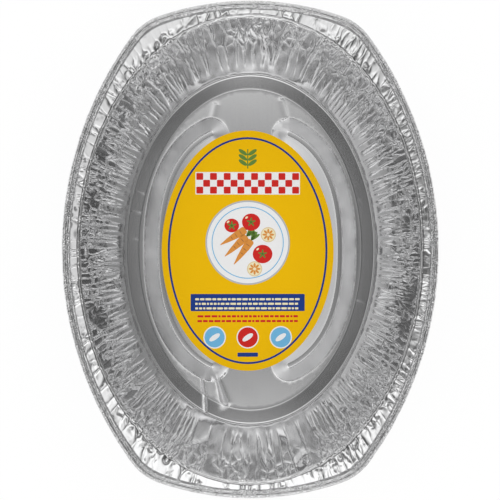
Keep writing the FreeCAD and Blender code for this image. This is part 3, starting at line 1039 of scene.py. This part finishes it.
@dataclass
class PanBase:
    """Flat base with its two raised ribs and the sloping foot of the wall, up to the crease.

    A tick is a short dent across the foot: its eccentric angle on the crease and its height in millimetres.
    """

    sizes: PanSizes
    count: int = 1200
    rib_steps: int = 110
    cap_steps: int = 28
    grid: float = 2.2 * MM
    swell: float = 0.12 * MM
    folds: tuple[BaseFold, ...] = (
        BaseFold((-42.5, -112.0), (-38.6, -143.5), 1.1, 0.8),
        BaseFold((-29.5, -112.0), (-21.5, -139.0), 1.2, 0.85, 2.8),
        BaseFold((33.0, 114.0), (27.5, 134.0), 2.6, 0.4),
        BaseFold((-34.0, 114.0), (-30.0, 130.0), 3.0, 0.28),
    )
    ticks: tuple[tuple[float, float], ...] = (
        (0.30, 0.10),
        (0.98, 0.16),
        (1.10, 0.16),
        (2.80, 0.3),
        (2.92, 0.36),
        (3.08, 0.26),
        (3.44, 0.10),
        (4.30, 0.12),
        (5.97, 0.28),
    )

    def crest_line(self, side: int) -> list[tuple[Vector, Vector]]:
        """Points of a rib's middle line with the direction across it.

        Args:
            side: 1 for the right rib, -1 for the left.

        Returns:
            Points and directions away from the middle of the pan, from one end to the other.
        """
        sizes = self.sizes
        half_width = sizes.crease_half_width - sizes.base_edge - sizes.rib_margin - sizes.rib_slope
        half_length = sizes.crease_half_length - sizes.base_edge - sizes.rib_end_margin
        power = sizes.rib_squareness
        reach = math.asin(((half_length - sizes.rib_tip_drop) / half_length) ** (power / 2))
        line = []
        for step in range(-self.rib_steps, self.rib_steps + 1):
            angle = reach * step / self.rib_steps
            across = half_width * math.cos(angle) ** (2 / power)
            along = math.copysign(half_length * abs(math.sin(angle)) ** (2 / power), angle)
            lean_x = (across / half_width) ** (power - 1) / half_width
            lean_y = (abs(along) / half_length) ** (power - 1) / half_length
            facing = Vector((lean_x, math.copysign(lean_y, angle))).normalized()
            middle = Vector((across, along)) - facing * sizes.rib_crest / 2
            line.append((Vector((middle.x * side, middle.y)), Vector((facing.x * side, facing.y))))
        return line if side > 0 else line[::-1]

    def rib_loop(self, side: int, spread: float) -> list[Vector]:
        """Closed outline round a rib at a distance from its middle line.

        Args:
            side: 1 for the right rib, -1 for the left.
            spread: the distance.

        Returns:
            Its points, in order.
        """
        line = self.crest_line(side)
        outer = [point + facing * spread for point, facing in line]
        inner = [point - facing * spread for point, facing in reversed(line)]
        return outer + self.cap(*line[-1], spread, 1) + inner + self.cap(*line[0], spread, -1)

    def cap(self, centre: Vector, facing: Vector, spread: float, way: int) -> list[Vector]:
        """Half round that closes one end of a rib outline.

        Args:
            centre: end of the middle line.
            facing: direction across the rib there.
            spread: radius of the half round.
            way: 1 at the last end, -1 at the first.

        Returns:
            Its points, without the two that the sides already have.
        """
        first = math.atan2(facing.y * way, facing.x * way)
        points = []
        for step in range(1, self.cap_steps):
            angle = first + math.pi * step / self.cap_steps
            points.append(centre + Vector((math.cos(angle), math.sin(angle))) * spread)
        return points

    def rib_profile(self) -> list[tuple[float, float]]:
        """Distance from the rib's middle line and height, from foot to crest, with crisp corners.

        Returns:
            A distance and a height for each outline of the rib.
        """
        sizes = self.sizes
        half = sizes.rib_crest / 2
        foot = half + sizes.rib_slope
        rise = sizes.rib_rise
        slope = rise / sizes.rib_slope
        edge = 0.35 * MM
        return [
            (foot + edge, 0.0),
            (foot, edge * slope * 0.3),
            (foot - edge, edge * slope),
            ((foot + half) / 2, rise / 2),
            (half + edge, rise - edge * slope),
            (half, rise - edge * slope * 0.25),
            (half - edge, rise),
        ]

    def foot_profile(self) -> list[tuple[float, float]]:
        """Inset from the crease and height, from the edge of the base up to the crease.

        Returns:
            An inset and a height for each ring of the foot.
        """
        sizes = self.sizes
        half, slope = sizes.foot_blend / 2, sizes.foot_rise / sizes.foot_run
        start, rest = sizes.foot_run + half, sizes.foot_run - half
        soft = [(start - share * 2 * half, share**2 * half * slope) for share in (0, 0.35, 0.7, 1)]
        shares = (0.9, 0.75, 0.6, 0.45, 0.3, 0.15, 0.0)
        return soft + [(rest * share, sizes.foot_rise - slope * rest * share) for share in shares]

    def build(self, foil: bpy.types.Material) -> bpy.types.Object:
        """Make the base.

        Args:
            foil: material of the skin.

        Returns:
            The finished piece.
        """
        points: list[Vector] = []
        heights: list[float] = []
        edges: list[tuple[int, int]] = []

        def add_loop(loop: Iterable[Vector], height: float) -> None:
            """Add a closed line of points at one height."""
            first = len(points)
            points.extend(Vector((point.x, point.y)) for point in loop)
            heights.extend([height] * (len(points) - first))
            last = len(points) - 1
            edges.extend((here, here + 1) for here in range(first, last))
            edges.append((last, first))

        for inset, height in self.foot_profile():
            ring = []
            for step in range(self.count):
                crease, out = self.sizes.crease(TAU * step / self.count)
                ring.append(crease - out * inset)
            add_loop(ring, height)
        for side in (1, -1):
            for spread, height in self.rib_profile():
                add_loop(self.rib_loop(side, spread), height)
        self.scatter(points, heights)
        found, _edges, faces, origins, _edge_from, _face_from = delaunay_2d_cdt(points, edges, [], 1, 1e-6)
        flat = np.array([tuple(point) for point in found])
        level = np.array([heights[source[0]] if source else 0.0 for source in origins])
        level = level + self.details(flat[:, 0], flat[:, 1]) + self.sizes.foil
        mesh = bpy.data.meshes.new("pan_base")
        corners = [(float(x), float(y), float(z)) for (x, y), z in zip(flat, level)]
        mesh.from_pydata(corners, [], [tuple(face) for face in faces])
        mesh.materials.append(foil)
        piece = linked("pan_base", mesh)
        self.face_up(mesh)
        return baked(piece, self.sizes.foil)

    def scatter(self, points: list[Vector], heights: list[float]) -> None:
        """Add loose points to the flat parts, closer together round the folds.

        Args:
            points: points of the base so far, added to.
            heights: their heights, added to.
        """
        sizes = self.sizes
        chance = random.Random(5)
        half_width = sizes.crease_half_width - sizes.base_edge - 1.0 * MM
        half_length = sizes.crease_half_length - sizes.base_edge - 1.0 * MM
        lines = [[point for point, _facing in self.crest_line(side)[::6]] for side in (1, -1)]
        keep_off = sizes.rib_crest / 2 + sizes.rib_slope + 1.2 * MM

        def try_point(spot: Vector) -> None:
            """Add the point if it lies on the flat base."""
            if (spot.x / half_width) ** 2 + (spot.y / half_length) ** 2 > 1:
                return
            line = lines[0] if spot.x > 0 else lines[1]
            if min((spot - point).length for point in line) > keep_off:
                points.append(spot)
                heights.append(0.0)

        columns, rows = int(half_width / self.grid), int(half_length / self.grid)
        for column in range(-columns, columns + 1):
            for row in range(-rows, rows + 1):
                shake = (chance.uniform(-0.3, 0.3), chance.uniform(-0.3, 0.3))
                try_point(Vector(((column + shake[0]) * self.grid, (row + shake[1]) * self.grid)))
        for fold in self.folds:
            start, stop = Vector(fold.start) * MM, Vector(fold.stop) * MM
            aside = (stop - start).normalized().orthogonal()
            for _try in range(900):
                spot = start.lerp(stop, chance.uniform(-0.15, 1.0)) + aside * chance.gauss(0, 2.5 * MM)
                try_point(spot)

    def details(self, across: np.ndarray, along: np.ndarray) -> np.ndarray:
        """Folds, dents and slow swells over the plain base.

        Args:
            across: places along X.
            along: places along Y.

        Returns:
            The rise at each place, never below the plain base.
        """
        rise = np.zeros_like(across)
        for fold in self.folds:
            rise += fold.rise_at(across, along)
        for turn, height in self.ticks:
            crease, out = self.sizes.crease(turn)
            start, stop = (crease - out * (8 * MM)) / MM, (crease - out * (0.8 * MM)) / MM
            rise += BaseFold((start.x, start.y), (stop.x, stop.y), 0.9, height).rise_at(across, along)
        wave = np.sin(across * 95 + np.sin(along * 60)) + np.sin(along * 70 + 2 * np.sin(across * 50))
        return rise + self.swell * 0.25 * (wave + 2)

    @staticmethod
    def face_up(mesh: bpy.types.Mesh) -> None:
        """Turn every face of an open sheet upwards.

        Args:
            mesh: mesh of the sheet.
        """
        work = bmesh.new()
        work.from_mesh(mesh)
        bmesh.ops.delete(work, geom=[v for v in work.verts if not v.link_faces], context="VERTS")
        for face in work.faces:
            face.normal_update()
            if face.normal.z < 0:
                face.normal_flip()
        work.to_mesh(mesh)
        work.free()


class Ink(Enum):
    """Colours of the print on the card."""

    YELLOW = (0.93, 0.535, 0.0)
    RED = (0.66, 0.025, 0.02)
    NAVY = (0.015, 0.05, 0.26)
    CREAM = (0.93, 0.84, 0.55)
    WHITE = (0.92, 0.92, 0.92)
    SKY = (0.18, 0.50, 0.78)
    GREY = (0.50, 0.53, 0.56)
    BROWN = (0.42, 0.17, 0.06)
    ORANGE = (0.75, 0.30, 0.06)
    TAN = (0.80, 0.62, 0.36)
    GREEN = (0.14, 0.26, 0.05)


@dataclass(frozen=True)
class CardFinish:
    """Coated card in one ink: smooth, faintly mottled and a little glossy."""

    ink: Ink

    def material(self) -> bpy.types.Material:
        """Make the material.

        Returns:
            The printed card material.
        """
        made, graph = blank_material(f"card_{self.ink.name.lower()}")
        place = graph.out("ShaderNodeTexCoord", {}, {}, "Object")
        fibre = graph.noise(place, 900.0, 3.0)
        cloud = graph.noise(place, 45.0, 2.0)
        colour = graph.scaled(self.ink.value, 0.95 + 0.05 * fibre + 0.03 * cloud)
        rough = 0.42 + 0.12 * fibre
        bump = {"Strength": 0.5, "Distance": 1.0, "Height": fibre * (0.01 * MM)}
        normal = graph.out("ShaderNodeBump", {}, bump)
        shader = graph.out(
            "ShaderNodeBsdfPrincipled",
            {},
            {"Base Color": colour, "Roughness": rough, "Normal": normal, "Specular IOR Level": 0.08},
        )
        graph.node("ShaderNodeOutputMaterial", {}, {"Surface": shader})
        return made


def spot_toward(start: Spot, run: float, turn: float) -> Spot:
    """Place at a distance from another, in a direction."""
    return start[0] + run * math.cos(turn), start[1] + run * math.sin(turn)


@dataclass
class CardPrint:
    """Print on the card: flat shapes a hair above it, drawn in millimetres from the card's middle."""

    thickness: float = 0.35 * MM
    ink_height: float = 0.03 * MM

    def __post_init__(self) -> None:
        """Read the card's tilt and middle from its solid."""
        low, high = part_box("card_label")
        self.middle = Vector(((low[0] + high[0]) / 2, (low[1] + high[1]) / 2, 0))
        self.slope = -(high[2] - low[2] - self.thickness) / (high[0] - low[0])
        self.top = (low[2] + high[2] + self.thickness) / 2
        self.shapes: list[tuple[Ink, list[Spot], int]] = []

    def stamp(self, ink: Ink, outline: Iterable[Spot], origin: Spot, lean: float, layer: int) -> None:
        """Keep a shape for the print.

        Args:
            ink: its colour.
            outline: its outline, the long way round to the left.
            origin: where the outline's own zero comes to lie.
            lean: how far it is turned about that zero.
            layer: how many ink heights it stands above the card.
        """
        cosine, sine = math.cos(lean), math.sin(lean)
        turned = [
            (origin[0] + across * cosine - along * sine, origin[1] + across * sine + along * cosine)
            for across, along in outline
        ]
        self.shapes.append((ink, turned, layer))

    def block(self, ink: Ink, corner: Spot, width: float, tall: float, layer: int) -> None:
        """Rectangle with small round corners, from its lower left corner.

        Args:
            ink: its colour.
            corner: place of that corner.
            width: size across.
            tall: size along.
            layer: how many ink heights it stands above the card.
        """
        soft = min(width, tall, 3.0) * 0.25
        outline = []
        for corner_x, corner_y, first in (
            (width - soft, tall - soft, 0),
            (soft, tall - soft, 1),
            (soft, soft, 2),
            (width - soft, soft, 3),
        ):
            for step in range(4):
                angle = (first + step / 3) * math.pi / 2
                outline.append((corner_x + soft * math.cos(angle), corner_y + soft * math.sin(angle)))
        self.stamp(ink, outline, corner, 0.0, layer)

    def oval(self, ink: Ink, middle: Spot, half: Spot, layer: int, lean: float = 0.0) -> None:
        """Ellipse with two half widths, turned by lean.

        Args:
            ink: its colour.
            middle: its middle.
            half: half its width and half its length.
            layer: how many ink heights it stands above the card.
            lean: how far it is turned.
        """
        steps = 36 if max(half) < 12 else 108
        angles = [TAU * step / steps for step in range(steps)]
        outline = [(half[0] * math.cos(angle), half[1] * math.sin(angle)) for angle in angles]
        self.stamp(ink, outline, middle, lean, layer)

    def stripes(
        self, ink: Ink, start: Spot, width: float, rows: int, pitch: float, seed: int, layer: int
    ) -> None:
        """Rows of short bars in place of small print, from the first row down.

        Args:
            ink: their colour.
            start: left end of the first row.
            width: length of a row.
            rows: number of rows.
            pitch: from row to row.
            seed: seed of the lengths of the bars.
            layer: how many ink heights they stand above the card.
        """
        chance = random.Random(seed)
        left, top = start
        for row in range(rows):
            across = left
            while across < left + width - 2:
                bar = min(chance.uniform(1.6, 5.5), left + width - across)
                self.block(ink, (across, top - row * pitch), bar, pitch * 0.45, layer)
                across += bar + 0.9

    def draw(self) -> None:
        """Lay out every printed shape."""
        self.oval(Ink.NAVY, (0.0, 0.0), (70.0, 99.5), 1)
        self.oval(Ink.YELLOW, (0.0, 0.0), (68.2, 97.7), 2)
        self.checks(-45.0, 50.0, 15, 3, 6.0)
        self.sprig(0.0, 81.0)
        self.plate((0.0, 7.0), 37.0)
        self.block(Ink.NAVY, (-50.0, -53.0), 100.0, 15.0, 3)
        self.stripes(Ink.CREAM, (-46.0, -43.5), 92.0, 3, 4.0, 11, 4)
        self.stripes(Ink.RED, (-44.0, -58.5), 88.0, 2, 4.2, 23, 3)
        for across, ink in ((-29.0, Ink.SKY), (0.0, Ink.RED), (29.0, Ink.SKY)):
            self.oval(Ink.WHITE, (across, -76.0), (9.8, 9.8), 3)
            self.oval(ink, (across, -76.0), (8.8, 8.8), 4)
            self.oval(Ink.WHITE, (across, -76.0), (5.4, 2.2), 5, 0.6)
        self.block(Ink.NAVY, (-9.0, -93.0), 18.0, 3.6, 3)

    def checks(self, left: float, bottom: float, columns: int, rows: int, side: float) -> None:
        """Band of red and white checks.

        Args:
            left: its left edge.
            bottom: its lower edge.
            columns: squares across.
            rows: squares along.
            side: side of a square.
        """
        self.block(Ink.WHITE, (left - 0.8, bottom - 0.8), columns * side + 1.6, rows * side + 1.6, 3)
        for row in range(rows):
            for column in range(row % 2, columns, 2):
                self.block(Ink.RED, (left + column * side, bottom + row * side), side, side, 4)

    def sprig(self, across: float, along: float) -> None:
        """Upright stalk with pairs of leaves.

        Args:
            across: place of the stalk across.
            along: place of its middle along.
        """
        self.block(Ink.GREEN, (across - 0.5, along - 9.0), 1.0, 17.0, 3)
        for rise in (-6.0, -1.5, 3.0):
            for way in (-1, 1):
                middle = (across + way * 4.2, along + rise + 2.2)
                self.oval(Ink.GREEN, middle, (4.4, 1.7), 4, way * 0.6)

    def plate(self, middle: Spot, radius: float) -> None:
        """Round plate with whole roots, tomatoes and slices on it.

        Args:
            middle: its middle.
            radius: its radius.
        """
        rings = ((Ink.GREY, 0.0), (Ink.WHITE, 1.4), (Ink.SKY, 5.4), (Ink.WHITE, 6.2))
        for layer, (ink, shrink) in enumerate(rings, 3):
            self.oval(ink, middle, (radius - shrink, radius - shrink), layer)
        across, along = middle
        for start, lean in (((-20.0, -12.0), 0.75), ((-12.0, -19.0), 0.95), ((-24.0, -2.0), 0.55)):
            self.carrot((across + start[0], along + start[1]), 26.0, lean)
        for spot, half in (((13.0, -10.0), 8.6), ((3.0, 18.0), 8.0), ((-14.0, 15.0), 6.4)):
            self.tomato((across + spot[0], along + spot[1]), half)
        for spot in ((18.0, 7.0), (6.0, -23.0)):
            self.slice((across + spot[0], along + spot[1]), 6.6)

    def carrot(self, tip: Spot, length: float, lean: float) -> None:
        """Tapered root with a tuft of leaves at its broad end.

        Args:
            tip: place of its tip.
            length: from the tip to the leaves.
            lean: direction in which it lies.
        """
        side = [(0.0, 0.3), (length * 0.3, 1.9), (length * 0.7, 3.3), (length * 0.95, 3.4), (length, 2.2)]
        outline = side + [(run, -half) for run, half in reversed(side)]
        self.stamp(Ink.ORANGE, reversed(outline), tip, lean, 8)
        for share, half in ((0.45, 1.6), (0.62, 2.0), (0.8, 2.2)):
            self.oval(Ink.BROWN, spot_toward(tip, length * share, lean), (0.35, half), 9, lean)
        for turn in (-0.35, 0.0, 0.35):
            leaf = spot_toward(tip, length + 4.2, lean + turn * 0.12)
            self.oval(Ink.GREEN, leaf, (4.8, 1.3), 7, lean + turn)

    def tomato(self, middle: Spot, half: float) -> None:
        """Round red fruit with a green star and a pale gleam.

        Args:
            middle: its middle.
            half: half its width.
        """
        self.oval(Ink.RED, middle, (half, half * 0.94), 9)
        for leaf in range(5):
            turn = TAU * leaf / 5 + 0.3
            self.oval(Ink.GREEN, spot_toward(middle, 1.9, turn), (2.2, 0.75), 10, turn)
        self.oval(Ink.CREAM, (middle[0] - half * 0.5, middle[1] + half * 0.5), (1.4, 0.8), 10, 0.7)

    def slice(self, middle: Spot, half: float) -> None:
        """Round slice with eight segments.

        Args:
            middle: its middle.
            half: half its width.
        """
        self.oval(Ink.TAN, middle, (half, half), 8)
        self.oval(Ink.CREAM, middle, (half * 0.88, half * 0.88), 9)
        for part in range(8):
            turn = TAU * part / 8
            segment = spot_toward(middle, half * 0.48, turn)
            self.oval(Ink.ORANGE, segment, (half * 0.3, half * 0.14), 10, turn)

    def place(self, across: float, along: float, lift: float) -> tuple[float, float, float]:
        """Point on the card from its place in millimetres."""
        x, y = across * MM, along * MM
        return self.middle.x + x, self.middle.y + y, self.top + self.slope * x + lift

    def build(self, finishes: dict[Ink, bpy.types.Material]) -> bpy.types.Object:
        """Make the print as one piece of thin closed shapes.

        Args:
            finishes: material of each ink.

        Returns:
            The finished piece.
        """
        self.draw()
        inks = list(finishes)
        work = bmesh.new()
        for ink, outline, layer in self.shapes:
            low = [work.verts.new(self.place(*point, 0.0)) for point in outline]
            high = [work.verts.new(self.place(*point, self.ink_height * layer)) for point in outline]
            faces = [work.faces.new(high), work.faces.new(low[::-1])]
            for here in range(len(outline)):
                there = (here + 1) % len(outline)
                faces.append(work.faces.new((low[here], low[there], high[there], high[here])))
            for face in faces:
                face.material_index = inks.index(ink)
        mesh = bpy.data.meshes.new("card_print")
        work.to_mesh(mesh)
        work.free()
        for ink in inks:
            mesh.materials.append(finishes[ink])
        return linked("card_print", mesh)


@dataclass
class Studio:
    """White table, light from all round that is strongest on the left, and the camera overhead."""

    rim_height: float = 70.0 * MM
    rim_to_camera: float = 345.0 * MM
    metres_per_pixel: float = 0.7378 * MM
    pan_middle_px: tuple[float, float] = (250.3, 249.4)
    brightest: float = 1.6
    plain_light: float = 0.98
    table_reach: float = 1.6
    table_seen: float = 1.02
    table_in_foil: float = 0.8
    table_glow: float = 0.88
    sky_angles: tuple[float, ...] = (0, 10, 17, 20, 24, 32, 42, 52, 60, 67, 78, 90)
    sky: dict[str, tuple[float, ...]] = field(
        default_factory=lambda: {
            "left": (0.18, 0.2, 0.2, 0.78, 0.72, 0.5, 0.22, 0.1, 0.1, 0.05, 0.4, 1.25),
            "right": (0.18, 0.22, 0.1, 0.12, 0.26, 0.38, 0.1, 0.09, 0.07, 0.07, 0.4, 1.4),
            "top": (0.18, 0.3, 0.45, 0.54, 0.86, 0.88, 1.12, 1.12, 0.64, 0.05, 0.4, 1.5),
            "bottom": (0.18, 0.27, 0.38, 0.4, 1.2, 1.2, 1.15, 1.12, 0.64, 0.05, 0.36, 1.5),
        }
    )

    def camera(self) -> bpy.types.Object:
        """Hang the camera straight above the pan, where the photo was taken from.

        Returns:
            The camera, made the scene's own.
        """
        lens = bpy.data.cameras.new("overhead_camera")
        half = PHOTO_SIDE_PX / 2 * self.metres_per_pixel
        lens.sensor_fit = "HORIZONTAL"
        lens.angle = 2 * math.atan(half / self.rim_to_camera)
        lens.clip_start = 0.01
        made = linked("overhead_camera", lens)
        off_x = (PHOTO_SIDE_PX / 2 - self.pan_middle_px[0]) * self.metres_per_pixel
        off_y = (self.pan_middle_px[1] - PHOTO_SIDE_PX / 2) * self.metres_per_pixel
        made.location = (off_x, off_y, self.rim_height + self.rim_to_camera)
        bpy.context.scene.camera = made
        return made

    def world(self) -> None:
        """Light from the whole sky: each side has its own brightness by angle from the zenith."""
        world = bpy.data.worlds.new("studio")
        world.use_nodes = True
        world.node_tree.nodes.clear()
        graph = Graph(world.node_tree)
        across, along, up = graph.axes(graph.out("ShaderNodeTexCoord", {}, {}, "Generated"))
        flatness = (1.0 - up * up).most(0.000001)
        level = flatness.math("SQRT", flatness)
        east, north = across / level, along / level
        sides = {
            "right": east.most(0.0),
            "left": (0.0 - east).most(0.0),
            "top": north.most(0.0),
            "bottom": (0.0 - north).most(0.0),
        }
        tilt = up.math("ARCCOSINE", up) / (math.pi / 2)
        shares = []
        for name, levels in self.sky.items():
            scaled = [(angle / 90, level / self.brightest) for angle, level in zip(self.sky_angles, levels)]
            ramp = graph.out("ShaderNodeValToRGB", {"stops": scaled}, {"Fac": tilt})
            shares.append(sides[name] * sides[name] * ramp)
        strength = sum(shares) * self.brightest
        path = graph.node("ShaderNodeLightPath", {}, {}).outputs
        glossy = Wire(graph, path["Is Glossy Ray"])
        seen = Wire(graph, path["Is Camera Ray"])
        plain = self.plain_light + seen * (1.0 - self.plain_light)
        strength = strength * glossy + plain * (1.0 - glossy)
        light = graph.out("ShaderNodeBackground", {}, {"Color": (1.0, 1.0, 1.0, 1.0), "Strength": strength})
        graph.node("ShaderNodeOutputWorld", {}, {"Surface": light})
        bpy.context.scene.world = world

    def table(self) -> bpy.types.Object:
        """White table that stays white to the camera and in the foil, and keeps the pan's soft shadow.

        Returns:
            The table top, which is not tied to the model's pieces.
        """
        mesh = bpy.data.meshes.new("table_top")
        reach = self.table_reach
        corners = [(-reach, -reach, 0), (reach, -reach, 0), (reach, reach, 0), (-reach, reach, 0)]
        mesh.from_pydata(corners, [], [(0, 1, 2, 3)])
        white, graph = blank_material("white_table")
        matt = graph.out("ShaderNodeBsdfDiffuse", {}, {"Color": (0.9, 0.9, 0.9, 1.0)})
        path = graph.node("ShaderNodeLightPath", {}, {}).outputs
        seen, mirrored = Wire(graph, path["Is Camera Ray"]), Wire(graph, path["Is Glossy Ray"])
        shine = seen * self.table_seen + mirrored * self.table_in_foil
        glow = graph.out("ShaderNodeEmission", {}, {"Color": (1.0, 1.0, 1.0, 1.0), "Strength": shine})
        share = seen.most(mirrored) * self.table_glow
        mixed = graph.out("ShaderNodeMixShader", {}, {0: share, 1: matt, 2: glow})
        graph.node("ShaderNodeOutputMaterial", {}, {"Surface": mixed})
        mesh.materials.append(white)
        made = linked("table_top", mesh)
        return made


def settle(piece: bpy.types.Object, node: str | None = None) -> None:
    """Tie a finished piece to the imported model.

    Args:
        piece: the finished piece.
        node: the solid that it stands for, if any.
    """
    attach(piece, "root")
    if node:
        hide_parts(node)
    log.info("%s: %d faces", piece.name, len(piece.data.polygons))


def main() -> None:
    """Build the pieces in order and report each one."""
    logging.basicConfig(level=logging.INFO, format="%(name)s: %(message)s")
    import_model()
    bpy.context.scene.view_settings.view_transform = "Standard"
    studio = Studio()
    studio.camera()
    studio.world()
    studio.table()
    sizes = PanSizes()
    rim = RimOutline(sizes)
    tree = FoldTree()
    wall_foil = FoilFinish("wall_foil", pleat_height=0.44 * MM, crumple_height=0.36 * MM).material()
    # Painted shade in the groove just outside the shoulder of the wall.
    shoulder_painted_shade = (SHOULDER_CLIMB + 2.1 * MM, 0.6 * MM, 0.65)
    flange_foil = FoilFinish("flange_foil", crimp_height=0.3 * MM, painted_shade_lines=(shoulder_painted_shade,)).material()
    base_foil = FoilFinish("base_foil", roughness=0.17, slope_roughness=0.30).material()
    # Painted shade on the rolled rim: at the foot of the lip and in the groove under the roll's edge.
    rim_painted_shades = ((0.3 * MM, 0.4 * MM, 0.35), (4.15 * MM, 0.42 * MM, 0.6))
    rim_foil = FoilFinish(
        "rim_foil", roughness=0.16, dent_height=0.18 * MM, dent_pitch=2.2 * MM, painted_shade_lines=rim_painted_shades
    ).material()
    wall_sections = sections_round(sizes, rim)
    settle(PanBase(sizes).build(base_foil), "foil_pan")
    settle(PanWall(sizes, wall_sections).build(tree, wall_foil), "foil_pan")
    settle(PanFlange(sizes, wall_sections).build(tree, flange_foil), "foil_pan")
    settle(PanRim(sizes, rim).build(tree, rim_foil), "foil_pan")
    inks = {ink: CardFinish(ink).material() for ink in Ink}
    card = bpy.data.objects["card_label"]
    card.data.materials.clear()
    card.data.materials.append(inks[Ink.YELLOW])
    card_print = CardPrint().build(inks)
    settle(card_print)
    for printed in (card, card_print):
        printed.visible_glossy = False


if __name__ == "__main__":
    main()
